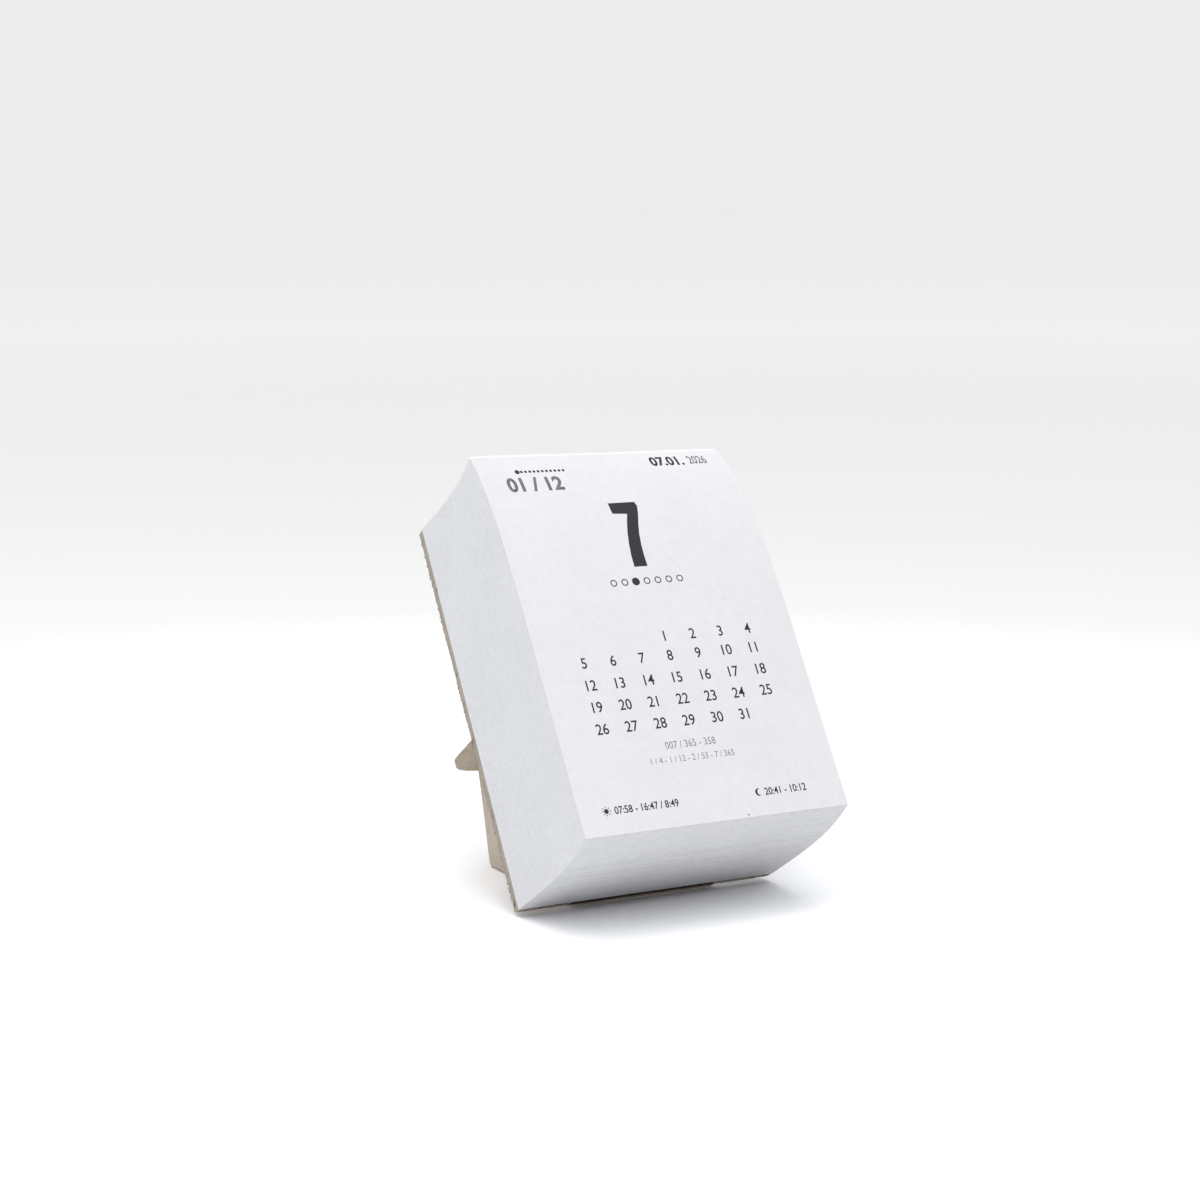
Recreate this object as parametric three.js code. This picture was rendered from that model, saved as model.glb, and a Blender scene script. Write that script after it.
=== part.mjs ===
// Block desk calendar: a year of tear-off leaves, padded at the top edge, on a greyboard back.
// A single-wing card easel with a blunt lock tab is glued behind it and leans the block back.
// Millimetres, +Z up, the pages face -Y. The origin is under the middle of the whole calendar.

import * as THREE from 'three';
import { mergeVertices } from 'three/addons/utils/BufferGeometryUtils.js';

// Leaves
const leafWidth = 75;
const leafHeight = 105;
const paperThickness = 0.1;
const leafPitch = 0.1225; // a leaf and the air under it, at the free edge
const monthNames = ['january', 'february', 'march', 'april', 'may', 'june',
  'july', 'august', 'september', 'october', 'november', 'december'];
const monthLengths = [31, 28, 31, 30, 31, 30, 31, 31, 30, 31, 30, 31];
const tornOffLeaves = 6; // the front leaf is the seventh of the year
const looseLeaves = 2; // the front leaf and the next, modelled one by one
const stepsAcross = 3; // leaf grid
const stepsDown = 14;
const rowCrowding = 1.7; // rows crowd towards the squeezed top edge
const steepMonths = 4; // the months in front follow the steep part of the rise
const steepLayers = 3;

// How the block slumps: the padded edge is squeezed, and the front leaves ride up
const pinchLeft = 8; // thickness lost at the padded edge, left end
const pinchRight = 12; // and right end
const pinchReach = 18; // how far down the squeeze dies away
const slackHollow = 0.7; // shallow hollow down the middle of the front leaf
const rideUp = 3.7; // the front leaf sits this much higher than the last one
const rideUpPower = 4; // nearly all of it in the front third of the block

// Back board and padding
const boardThickness = 2.5;
const glueLine = 0.1; // film between glued faces
const paddingThickness = 0.6; // dried padding compound along the top edge
const paddingSetback = 0.3; // it stops short of the front leaf, which lifts past it
const paddingSteps = 19;

// Easel
const leanAngle = THREE.MathUtils.degToRad(31.5); // from upright
const easelCard = 1.5; // card thickness of panel, wing and tab
const creaseFromLeft = 16.4; // vertical crease, from the left edge of the board
const panelFootWidth = 42.6; // crease to the right end of the foot
const panelTopWidth = 29;
const panelHeight = 96;
const panelTopRadius = 5;
const panelFootRadius = 1.2;
const creaseRelief = 0.6; // foot cut back beside the crease
const creaseReliefLength = 4;
const foldGap = 0.3; // play that a folded or slotted card keeps

const wingReach = 43.2; // page plane to the wing's heel, measured square to the board
const wingNeck = 35.8; // the same under the lock tab
const wingWaist = 0.3; // how far the outer edge bows in between the two
const heelRadius = 1.8;
const wingLedge = 1.2; // the lock tab rests on this ledge, outside the horn

const tabHeight = 49.5; // lock tab above the board's lower edge
const tabHalfWidth = 12.5; // at its crease
const tabTipHalfWidth = 10.5; // at its blunt end, before the corners are rounded
const tabCorner = 8; // length of edge that each rounded corner takes
const tabBow = 2; // the blunt end stands this far proud of its corners
const tabLip = 2.1; // card left between the tab's slot and its tip
const hornHeight = 4.5; // wing's horn above the tab
const hornLength = 10.5;
const hornTopLength = 3;

const curveSteps = 10; // facets of a rounded corner or end
const mergeTolerance = 1e-4;

// Colours
const paperColour = 0xf1f2f4;
const nextPaperColour = 0xeceef1;
const blockColour = 0xe2e3e7;
const greyboardColour = 0xafa596;
const easelColour = 0xc4b9aa;
const paddingColour = 0xf4f4f2;

// Derived sizes
const leafCount = monthLengths.reduce((sum, days) => sum + days, 0) - tornOffLeaves;
const blockDepth = leafCount * leafPitch;
const leafAir = leafPitch - paperThickness;
const panelBack = boardThickness + glueLine + easelCard; // page plane to the panel's back face
const tabAxisDepth = boardThickness + foldGap + easelCard; // folded flat, the tab clears the board
const wingAxisDepth = tabAxisDepth + foldGap; // folded flat, the wing clears the tab
const creaseX = creaseFromLeft - leafWidth / 2;
const wingAxisX = creaseX + easelCard;
const wingMiddleX = creaseX + easelCard / 2;
const hornEnd = wingNeck - wingLedge;
const hornFoot = hornEnd - hornLength;
const tabReach = hornEnd + foldGap + tabLip; // page plane to the tip of the tab

const paperMaterial = (color) => new THREE.MeshStandardMaterial({ color, roughness: 0.9, metalness: 0 });
const cardMaterial = (color) => new THREE.MeshStandardMaterial({ color, roughness: 0.95, metalness: 0 });

// Geometry helpers

// A closed solid over a grid of shares a, b, c from 0 to 1. a, b, c run right-handed.
// Both sides of each layer are cut along the same diagonal, so that neighbours stay parallel.
function gridSolid(pointAt, counts) {
  const positions = [];
  for (let axis = 0; axis < 3; axis += 1) {
    const first = (axis + 1) % 3;
    const second = (axis + 2) % 3;
    for (const end of [0, counts[axis]]) {
      for (let i = 0; i < counts[first]; i += 1) {
        for (let j = 0; j < counts[second]; j += 1) {
          const corner = (stepI, stepJ) => {
            const index = [0, 0, 0];
            index[axis] = end;
            index[first] = i + stepI;
            index[second] = j + stepJ;
            return pointAt(...index.map((value, side) => value / counts[side]));
          };
          const [near, far] = [corner(0, 0), corner(1, 1)];
          const [left, right] = end === 0 ? [corner(1, 0), corner(0, 1)] : [corner(0, 1), corner(1, 0)];
          positions.push(...near, ...right, ...far, ...near, ...far, ...left);
        }
      }
    }
  }
  const geometry = new THREE.BufferGeometry();
  geometry.setAttribute('position', new THREE.Float32BufferAttribute(positions, 3));
  const merged = mergeVertices(geometry, mergeTolerance);
  merged.computeVertexNormals();
  return merged;
}

// Cuts an outline from easel card. The outline's first axis is `along`, its second is `up`.
function cutCard(shape, along, up) {
  const sheet = { depth: easelCard, bevelEnabled: false, curveSegments: curveSteps };
  const geometry = new THREE.ExtrudeGeometry(shape, sheet);
  const outOfSheet = new THREE.Vector3().crossVectors(along, up);
  geometry.applyMatrix4(new THREE.Matrix4().makeBasis(along, up, outOfSheet));
  return geometry;
}

const acrossAxis = new THREE.Vector3(1, 0, 0);
const backAxis = new THREE.Vector3(0, 1, 0);
const upAxis = new THREE.Vector3(0, 0, 1);

// Leaves: one surface function places them all

// Share 0 is the page plane against the board, share 1 the front of the block.
function rise(share) {
  return rideUp * share ** rideUpPower;
}

function depthAt(share, x, down) {
  const pinch = THREE.MathUtils.mapLinear(x, -leafWidth / 2, leafWidth / 2, pinchLeft, pinchRight);
  const squeezed = pinch * Math.exp(-down / pinchReach);
  const hollow = slackHollow * Math.sin((Math.PI * THREE.MathUtils.clamp(down, 0, leafHeight)) / leafHeight);
  return share * (blockDepth - squeezed - hollow);
}

function leafPoint(share, x, down) {
  return [x, -depthAt(share, x, down), leafHeight + rise(share) - down];
}

// Leaves number `from` to `to`, counted from the board, as one pad
function leafPad(from, to, layers = 1) {
  const backShare = (from * leafPitch) / blockDepth;
  const frontShare = (to * leafPitch - leafAir) / blockDepth;
  const pointAt = (across, downShare, backward) => {
    const share = THREE.MathUtils.lerp(frontShare, backShare, backward);
    const x = (across - 0.5) * leafWidth;
    return leafPoint(share, x, leafHeight * downShare ** rowCrowding);
  };
  return gridSolid(pointAt, [stepsAcross, stepsDown, layers]);
}

// Where a loose leaf turns: the middle of its glued top edge
function leafHinge(number) {
  const share = (number * leafPitch - leafAir) / blockDepth;
  return new THREE.Vector3(...leafPoint(share, 0, 0));
}

function looseLeaf(number) {
  const hinge = leafHinge(number);
  const geometry = leafPad(number - 1, number);
  geometry.translate(-hinge.x, -hinge.y, -hinge.z);
  return { geometry, hinge };
}

// Dried padding compound: follows the leaves' top edges and runs on over the board's edge
function paddingStrip() {
  const frontEdge = 1 - paddingSetback / blockDepth;
  const backEdge = -boardThickness / blockDepth;
  const pointAt = (across, downShare, backward) => {
    const share = THREE.MathUtils.lerp(frontEdge, backEdge, backward);
    const x = (across - 0.5) * leafWidth;
    const aboveLeaves = THREE.MathUtils.lerp(glueLine + paddingThickness, glueLine, downShare);
    const depth = share > 0 ? depthAt(share, x, 0) : share * blockDepth;
    return [x, -depth, leafHeight + rise(Math.max(share, 0)) + aboveLeaves];
  };
  return gridSolid(pointAt, [stepsAcross, 1, paddingSteps]);
}

// Easel

// Height above the board's lower edge, at a depth behind the page plane, where the table lies
function tableLineAt(depth) {
  return (depth - panelBack) * Math.tan(leanAngle);
}

// Right half of the tab's outline, grown by `gap`: from its crease round to the tip.
// First axis across from the tab's middle, second axis away from the crease.
function tabHalfOutline(gap) {
  const length = tabReach - tabAxisDepth + gap;
  const base = new THREE.Vector2(tabHalfWidth + gap, 0);
  const corner = new THREE.Vector2(tabTipHalfWidth + gap, length - tabBow);
  const tip = new THREE.Vector2(0, length);
  const cornerStart = base.clone().sub(corner).setLength(tabCorner).add(corner);
  const cornerEnd = tip.clone().sub(corner).setLength(tabCorner).add(corner);
  return { base, corner, tip, cornerStart, cornerEnd };
}

// Glued panel: foot along the table, left edge on the crease, with the tab's window let into it
function easelPanel() {
  const edgeOf = tabHalfOutline(foldGap);
  const [corner, tip, cornerStart, cornerEnd] = [edgeOf.corner, edgeOf.tip, edgeOf.cornerStart, edgeOf.cornerEnd]
    .map((point) => point.add(new THREE.Vector2(easelCard / 2, tabHeight)));
  const shape = new THREE.Shape();
  shape.moveTo(creaseReliefLength, 0);
  shape.lineTo(panelFootWidth - panelFootRadius, 0);
  shape.quadraticCurveTo(panelFootWidth, 0, panelFootWidth, panelFootRadius);
  const shoulder = new THREE.Vector2(panelTopWidth, panelHeight);
  const edge = new THREE.Vector2(panelFootWidth, panelFootRadius).sub(shoulder).setLength(panelTopRadius);
  shape.lineTo(shoulder.x + edge.x, shoulder.y + edge.y);
  shape.quadraticCurveTo(shoulder.x, shoulder.y, shoulder.x - panelTopRadius, shoulder.y);
  shape.lineTo(0, panelHeight);
  shape.lineTo(0, tip.y);
  shape.lineTo(tip.x, tip.y);
  shape.lineTo(cornerEnd.x, cornerEnd.y);
  shape.quadraticCurveTo(corner.x, corner.y, cornerStart.x, cornerStart.y);
  shape.lineTo(easelCard / 2 + edgeOf.base.x, tabHeight - foldGap);
  shape.lineTo(0, tabHeight - foldGap);
  shape.lineTo(0, creaseRelief);
  shape.quadraticCurveTo(creaseReliefLength / 2, 0, creaseReliefLength, 0);
  const geometry = cutCard(shape, acrossAxis, upAxis);
  return { geometry, place: new THREE.Vector3(creaseX, panelBack, 0) };
}

// Wing: stands square to the board. Its lower edge lies on the table, its horn passes the tab's slot.
function easelWing() {
  const hornMiddle = (hornFoot + hornEnd) / 2;
  const hornTop = tabHeight + hornHeight;
  const ledgeHeight = tabHeight - foldGap;
  const heelHeight = tableLineAt(wingReach);
  const towardsNeck = new THREE.Vector2(wingNeck - wingReach, ledgeHeight - heelHeight).setLength(heelRadius);
  const towardsCrease = new THREE.Vector2(-Math.cos(leanAngle), -Math.sin(leanAngle)).setLength(heelRadius);

  const shape = new THREE.Shape();
  shape.moveTo(wingAxisDepth, tableLineAt(wingAxisDepth) + creaseRelief);
  const contact = wingAxisDepth + creaseReliefLength;
  shape.quadraticCurveTo((wingAxisDepth + contact) / 2, tableLineAt((wingAxisDepth + contact) / 2),
    contact, tableLineAt(contact));
  shape.lineTo(wingReach + towardsCrease.x, heelHeight + towardsCrease.y);
  shape.quadraticCurveTo(wingReach, heelHeight, wingReach + towardsNeck.x, heelHeight + towardsNeck.y);
  shape.quadraticCurveTo((wingReach + wingNeck) / 2 - wingWaist, (heelHeight + ledgeHeight) / 2,
    wingNeck, ledgeHeight);
  shape.lineTo(hornEnd, ledgeHeight);
  shape.quadraticCurveTo(hornEnd, hornTop, hornMiddle + hornTopLength / 2, hornTop);
  shape.lineTo(hornMiddle - hornTopLength / 2, hornTop);
  shape.quadraticCurveTo(hornFoot, hornTop, hornFoot, ledgeHeight);
  shape.lineTo(wingAxisDepth, ledgeHeight);
  shape.closePath();
  const geometry = cutCard(shape, backAxis, upAxis);
  geometry.translate(-easelCard, -wingAxisDepth, 0);
  return { geometry, place: new THREE.Vector3(wingAxisX, wingAxisDepth, 0) };
}

// Lock tab: a blunt tongue, creased along the panel. Its slot holds the open wing, and bulges
// to the side that the wing folds to, so that the horn leaves it as both fold.
function lockTab() {
  const { base, corner, tip, cornerStart, cornerEnd } = tabHalfOutline(0);
  const slotHalf = easelCard / 2 + foldGap;
  const slotBulge = slotHalf + hornHeight;
  const slotNear = hornFoot - tabAxisDepth - foldGap;
  const slotFar = hornEnd - tabAxisDepth + foldGap;

  const shape = new THREE.Shape();
  shape.moveTo(-base.x, base.y);
  shape.lineTo(base.x, base.y);
  shape.lineTo(cornerStart.x, cornerStart.y);
  shape.quadraticCurveTo(corner.x, corner.y, cornerEnd.x, cornerEnd.y);
  shape.lineTo(tip.x, tip.y);
  shape.lineTo(-cornerEnd.x, cornerEnd.y);
  shape.quadraticCurveTo(-corner.x, corner.y, -cornerStart.x, cornerStart.y);
  shape.closePath();
  const slot = new THREE.Path();
  slot.moveTo(-slotHalf, slotNear);
  slot.lineTo(-slotHalf, slotFar);
  slot.lineTo(slotHalf, slotFar);
  slot.quadraticCurveTo(slotBulge, slotFar, slotBulge, (slotNear + slotFar) / 2);
  slot.quadraticCurveTo(slotBulge, slotNear, slotHalf, slotNear);
  slot.lineTo(-slotHalf, slotNear);
  shape.holes.push(slot);
  const geometry = cutCard(shape, acrossAxis, backAxis);
  return { geometry, place: new THREE.Vector3(wingMiddleX, tabAxisDepth, tabHeight) };
}

// Assembly

const leaning = new THREE.Group();
leaning.rotation.x = -leanAngle;

function addPiece(name, geometry, material, place = new THREE.Vector3()) {
  const mesh = new THREE.Mesh(geometry, material);
  mesh.name = name;
  mesh.position.copy(place);
  leaning.add(mesh);
}

function addLeaves() {
  const front = looseLeaf(leafCount);
  const second = looseLeaf(leafCount - 1);
  addPiece('leaf_front', front.geometry, paperMaterial(paperColour), front.hinge);
  addPiece('leaf_second', second.geometry, paperMaterial(nextPaperColour), second.hinge);
  let below = leafCount - looseLeaves; // leaves still to place, counted from the board
  monthNames.forEach((month, index) => {
    const missing = index === 0 ? tornOffLeaves + looseLeaves : 0;
    const leaves = monthLengths[index] - missing;
    const layers = index < steepMonths ? steepLayers : 1;
    addPiece(`leaves_${month}`, leafPad(below - leaves, below, layers), paperMaterial(blockColour));
    below -= leaves;
  });
}

function addBack() {
  const board = new THREE.BoxGeometry(leafWidth, boardThickness, leafHeight);
  board.translate(0, boardThickness / 2 + leafAir, leafHeight / 2);
  addPiece('back_board', board, cardMaterial(greyboardColour));
  addPiece('padding_glue', paddingStrip(), paperMaterial(paddingColour));
}

function addEasel() {
  for (const [name, piece] of [['easel_panel', easelPanel()], ['easel_wing', easelWing()],
    ['lock_tab', lockTab()]]) {
    addPiece(name, piece.geometry, cardMaterial(easelColour), piece.place);
  }
}

addLeaves();
addBack();
addEasel();

const calendar = new THREE.Group();
calendar.add(leaning);
calendar.updateMatrixWorld(true);
const extent = new THREE.Box3().setFromObject(calendar, true);
const middle = extent.getCenter(new THREE.Vector3());
calendar.position.set(-middle.x, -middle.y, -extent.min.z);

export default calendar;
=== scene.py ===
import math
import random

import bpy
from mathutils import Matrix, Vector, noise


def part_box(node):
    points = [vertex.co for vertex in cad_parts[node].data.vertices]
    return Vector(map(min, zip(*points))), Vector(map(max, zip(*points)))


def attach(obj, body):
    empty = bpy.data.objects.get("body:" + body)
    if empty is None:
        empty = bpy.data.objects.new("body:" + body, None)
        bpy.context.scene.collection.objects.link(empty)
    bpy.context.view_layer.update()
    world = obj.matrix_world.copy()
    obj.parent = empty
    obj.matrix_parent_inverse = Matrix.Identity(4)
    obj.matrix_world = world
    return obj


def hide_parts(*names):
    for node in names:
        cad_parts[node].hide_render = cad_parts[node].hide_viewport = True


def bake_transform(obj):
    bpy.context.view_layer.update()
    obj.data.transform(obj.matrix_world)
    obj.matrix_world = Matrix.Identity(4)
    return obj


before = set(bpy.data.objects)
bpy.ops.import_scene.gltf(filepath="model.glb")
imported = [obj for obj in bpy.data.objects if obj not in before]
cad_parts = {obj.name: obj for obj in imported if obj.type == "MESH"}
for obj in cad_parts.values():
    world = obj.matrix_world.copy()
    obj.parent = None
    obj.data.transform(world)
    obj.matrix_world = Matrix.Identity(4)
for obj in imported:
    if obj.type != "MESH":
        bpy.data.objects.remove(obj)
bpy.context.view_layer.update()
mm = 0.001
dice = random.Random(7)
print("frame loaded:", len(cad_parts), "nodes")


# the block's shape, which the leaves, padding and print share

block = {
    "width": 75 * mm,
    "height": 105 * mm,
    "leaves": 359,
    "pitch": 0.1225 * mm,
    "paper": 0.1 * mm,
    "pinchLeft": 8 * mm,  # the padded edge is squeezed thinner
    "pinchRight": 12 * mm,
    "pinchReach": 18 * mm,
    "hollow": 0.7 * mm,
    "rideUp": 3.7 * mm,  # front leaves sit higher
    "rideUpPower": 4,
    "lean": math.radians(31.5),
    "board": 2.5 * mm,
}
block["depth"] = block["leaves"] * block["pitch"]

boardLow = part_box("back_board")[0]
leanCos, leanSin = math.cos(block["lean"]), math.sin(block["lean"])
leafAir = block["pitch"] - block["paper"]
boardOriginY = boardLow.y - leafAir * leanCos
boardOriginZ = boardLow.z + (block["board"] + leafAir) * leanSin
# board space: x across, y behind the page plane, z up along the board
boardSpace = Matrix((
    (1, 0, 0, 0),
    (0, leanCos, leanSin, boardOriginY),
    (0, -leanSin, leanCos, boardOriginZ),
    (0, 0, 0, 1),
))
acrossAxis, backAxis, upAxis = (Vector(boardSpace.col[number][:3]) for number in range(3))


def settledPoint(flat):
    # flat: x across, y minus the thickness of leaves behind it, z up from the leaf's foot
    if flat.y >= 0:
        return boardSpace @ flat
    share = -flat.y / block["depth"]
    down = block["height"] - flat.z
    across = flat.x / block["width"] + 0.5
    pinch = block["pinchLeft"] + (block["pinchRight"] - block["pinchLeft"]) * across
    squeezed = pinch * math.exp(-down / block["pinchReach"])
    inLeaf = min(max(down / block["height"], 0), 1)
    hollow = block["hollow"] * math.sin(math.pi * inLeaf)
    depth = share * (block["depth"] - squeezed - hollow)
    rise = block["rideUp"] * share ** block["rideUpPower"]
    return boardSpace @ Vector((flat.x, -depth, flat.z + rise))


def deselectAll():
    if bpy.context.object and bpy.context.object.mode != "OBJECT":
        bpy.ops.object.mode_set(mode="OBJECT")
    bpy.ops.object.select_all(action="DESELECT")


def pick(obj):
    deselectAll()
    obj.select_set(True)
    bpy.context.view_layer.objects.active = obj


def applyPlace(obj):
    pick(obj)
    bpy.ops.object.transform_apply(location=True, rotation=True, scale=True)


def addCube(name, size, place):
    deselectAll()
    bpy.ops.mesh.primitive_cube_add(size=1, location=place)
    obj = bpy.context.object
    obj.name = name
    obj.scale = size
    applyPlace(obj)
    return obj


def cutRows(obj, cuts, direction):
    pick(obj)
    bpy.ops.object.mode_set(mode="EDIT")
    for cut in cuts:
        bpy.ops.mesh.select_all(action="SELECT")
        bpy.ops.mesh.bisect(plane_co=Vector(direction) * cut, plane_no=direction)
    bpy.ops.object.mode_set(mode="OBJECT")


def joinAll(parts, name):
    deselectAll()
    for part in parts:
        part.select_set(True)
    bpy.context.view_layer.objects.active = parts[0]
    if len(parts) > 1:
        bpy.ops.object.join()
    parts[0].name = name
    return parts[0]


def copyOf(obj, across=0.0):
    twin = obj.copy()
    twin.data = obj.data.copy()
    bpy.context.collection.objects.link(twin)
    twin.data.transform(Matrix.Translation((across, 0, 0)))
    return twin


def addModifier(obj, kind, **values):
    pick(obj)
    modifier = obj.modifiers.new(kind.title(), kind)
    for key, value in values.items():
        setattr(modifier, key, value)
    bpy.ops.object.modifier_apply(modifier=modifier.name)


def smoothByAngle(obj, degrees=35):
    pick(obj)
    bpy.ops.object.shade_smooth_by_angle(angle=math.radians(degrees))


def settleOnBlock(obj):
    for vertex in obj.data.vertices:
        vertex.co = settledPoint(vertex.co.copy())
    obj.data.update()


def dress(obj, finish):
    obj.data.materials.clear()
    obj.data.materials.append(finish.material)


class Wire:
    # a socket that can stand in a sum
    def __init__(self, finish, socket):
        self.finish = finish
        self.socket = socket

    def sum(self, operation, first, second):
        return self.finish.node("ShaderNodeMath", {"operation": operation}, {0: first, 1: second})

    def __add__(self, other):
        return self.sum("ADD", self, other)

    def __radd__(self, other):
        return self.sum("ADD", other, self)

    def __sub__(self, other):
        return self.sum("SUBTRACT", self, other)

    def __rsub__(self, other):
        return self.sum("SUBTRACT", other, self)

    def __mul__(self, other):
        return self.sum("MULTIPLY", self, other)

    def __rmul__(self, other):
        return self.sum("MULTIPLY", other, self)


class Finish:
    def __init__(self, name, **constants):
        self.material = bpy.data.materials.new(name)
        self.material.use_nodes = True
        self.tree = self.material.node_tree
        self.shader = self.tree.nodes["Principled BSDF"]
        self.put(**constants)

    def put(self, **values):
        names = {"colour": "Base Color", "roughness": "Roughness", "normal": "Normal",
                 "specular": "Specular IOR Level"}
        for key, value in values.items():
            self.plug(self.shader.inputs[names[key]], value)

    def plug(self, socket, value):
        if isinstance(value, Wire):
            self.tree.links.new(value.socket, socket)
        elif isinstance(value, (tuple, list)) and len(value) == 3 and socket.type == "RGBA":
            socket.default_value = (*value, 1)
        else:
            socket.default_value = value

    def node(self, kind, settings, sockets, output=0):
        made = self.tree.nodes.new(kind)
        for key, value in settings.items():
            if key == "stops":
                ramp = made.color_ramp.elements
                while len(ramp) < len(value):
                    ramp.new(0.5)
                for element, (place, tone) in zip(ramp, value):
                    element.position = place
                    element.color = (tone, tone, tone, 1)
            else:
                setattr(made, key, value)
        for key, value in sockets.items():
            self.plug(made.inputs[key], value)
        return Wire(self, made.outputs[output])

    def coordinates(self, scale=(1, 1, 1), turn=(0, 0, 0)):
        place = self.node("ShaderNodeTexCoord", {}, {}, "Object")
        return self.node("ShaderNodeMapping", {}, {0: place, "Rotation": turn, "Scale": scale})

    def noise(self, where, scale, detail=3, roughness=0.5, distortion=0):
        return self.node("ShaderNodeTexNoise", {}, {
            "Vector": where, "Scale": scale, "Detail": detail, "Roughness": roughness,
            "Distortion": distortion})

    def flecks(self, where, scale, low, high):
        # sparse spots: near the middle of some cells only
        cells = self.node("ShaderNodeTexVoronoi", {"feature": "F1"}, {
            "Vector": where, "Scale": scale}, "Distance")
        return self.node("ShaderNodeValToRGB", {"stops": [(low, 1), (high, 0)]}, {0: cells})

    def ramp(self, value, low, high):
        return self.node("ShaderNodeMapRange", {}, {0: value, 1: low, 2: high})

    def mix(self, factor, first, second):
        return self.node("ShaderNodeMix", {"data_type": "RGBA"}, {0: factor, 6: first, 7: second}, 2)

    def attribute(self, name):
        return self.node("ShaderNodeAttribute", {"attribute_name": name}, {}, "Fac")

    def bump(self, height, distance):
        return self.node("ShaderNodeBump", {}, {"Strength": 1, "Distance": distance, "Height": height})


paperLook = {
    "white": (0.79, 0.78, 0.802),
    "shade": (0.733, 0.724, 0.746),
    "cutEdge": (0.857, 0.859, 0.880),
    "cutShade": (0.765, 0.767, 0.79),
    "leafStreak": 0.05,  # how much one leaf's edge differs from the next
    "tooth": 0.010 * mm,
    "cutTooth": 0.02 * mm,
}


def makePaper(name):
    paper = Finish(name, roughness=0.85, specular=0.25)
    where = paper.coordinates()
    clouds = paper.noise(where, 45, 4, 0.55)
    formation = paper.noise(where, 420, 3, 0.6)
    fibres = paper.noise(paper.coordinates((1, 0.6, 1.6)), 1500, 3, 0.7)
    tone = paper.ramp(clouds * 0.25 + formation * 0.35 + fibres * 0.4, 0.38, 0.62)
    paper.put(colour=paper.mix(tone, paperLook["shade"], paperLook["white"]))
    paper.put(normal=paper.bump(formation * 0.4 + fibres * 0.6, paperLook["tooth"]))
    return paper


def makeCutEdges(name):
    edges = Finish(name, roughness=0.9, specular=0.2)
    leafTone = edges.attribute("leafTone")
    where = edges.coordinates()
    broad = edges.noise(where, 60, 3, 0.5)
    mottle = edges.noise(where, 480, 3, 0.6)
    fine = edges.noise(where, 1400, 3, 0.6)
    tone = edges.ramp(leafTone * paperLook["leafStreak"] + broad * 0.2 + mottle * 0.35 + fine * 0.4,
                      0.38, 0.66)
    edges.put(colour=edges.mix(tone, paperLook["cutShade"], paperLook["cutEdge"]))
    edges.put(normal=edges.bump(mottle * 0.4 + fine * 0.6, paperLook["cutTooth"]))
    return edges


cardLook = {
    "light": (0.72, 0.64, 0.54),
    "dark": (0.50, 0.43, 0.35),
    "edge": (0.43, 0.35, 0.27),
    "edgeShare": 0.62,  # cut edges are browner than the faces
    "fleckDark": (0.18, 0.13, 0.09),
    "fleckLight": (0.80, 0.73, 0.64),
    "paintedFootShade": 0.0,
}
# a darker copy of the card for the tab: painted shade, for the tab lies in the block's shade
tabShadedLook = {**cardLook, "light": (0.65, 0.57, 0.47), "dark": (0.45, 0.38, 0.31),
           "edge": (0.28, 0.22, 0.16), "edgeShare": 0.85}

boardLook = {
    "light": (0.42, 0.37, 0.32),
    "dark": (0.27, 0.23, 0.195),
    "edge": (0.50, 0.44, 0.395),
    "edgeShare": 0.7,
    "fleckDark": (0.075, 0.06, 0.05),
    "fleckLight": (0.62, 0.57, 0.51),
    "paintedFootShade": 1.0,  # painted shade along the foot, where the easel's foot shuts out the light
}


def makeCard(name, look, grain):
    card = Finish(name, roughness=0.92, specular=0.2)
    where = card.coordinates()
    turn = (block["lean"], 0, 0)
    clouds = card.noise(where, 70, 4, 0.6)
    pulp = card.noise(card.coordinates((1, 1, 0.35), turn), 900, 4, 0.7)
    strands = card.noise(card.coordinates((0.25, 1, 1), turn), 1600, 2, 0.6, 0.4)
    grit = card.noise(where, 2600, 2, 0.6)
    body = card.ramp(clouds * 0.3 + pulp * 0.3 + strands * 0.15 + grit * 0.25, 0.36, 0.64)
    colour = card.mix(body, look["dark"], look["light"])
    cutFace = card.attribute("cutFace")
    edgeWear = card.ramp(pulp * 0.6 + grit * 0.4, 0.35, 0.6)
    colour = card.mix(cutFace * edgeWear * look["edgeShare"], colour, look["edge"])
    spots = card.flecks(where, 620, 0.08, 0.18) * card.ramp(clouds, 0.42, 0.6)
    edgeSpots = card.flecks(card.coordinates((1, 1, 0.6), turn), 330, 0.16, 0.24) * cutFace
    lightSpots = card.flecks(card.coordinates((1, 1, 0.4), turn), 900, 0.10, 0.22)
    colour = card.mix(spots * 0.45, colour, look["fleckDark"])
    colour = card.mix(edgeSpots * 0.7, colour, look["fleckDark"])
    colour = card.mix(lightSpots * 0.2, colour, look["fleckLight"])
    # painted shade on the board's foot, where the easel's foot blocks the light
    colour = card.mix(card.attribute("footFace") * look["paintedFootShade"], colour, look["fleckDark"])
    card.put(colour=colour)
    card.put(normal=card.bump(pulp * 0.4 + strands * 0.3 + grit * 0.3, grain))
    return card


paintedShadeSpan = (-22.5 * mm, 20.5 * mm)  # the stretch of lower edge above the easel's foot, which gets painted shade


def markCutFaces(obj, sheetNormal):
    # the narrow faces round a sheet, where it was cut
    marks = obj.data.attributes.new("cutFace", "FLOAT", "FACE")
    marks.data.foreach_set("value", [
        1.0 if abs(face.normal.dot(sheetNormal)) < 0.6 else 0.0 for face in obj.data.polygons])
    # the downward faces above the easel's foot, which get painted shade
    feet = obj.data.attributes.new("footFace", "FLOAT", "FACE")
    feet.data.foreach_set("value", [
        1.0 if face.normal.dot(upAxis) < -0.6 and paintedShadeSpan[0] < face.center.x < paintedShadeSpan[1] else 0.0
        for face in obj.data.polygons])


paddingLook = {
    "dull": (0.86, 0.86, 0.85),
    "bright": (0.94, 0.945, 0.945),
    "lumps": 0.08 * mm,
}


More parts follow.
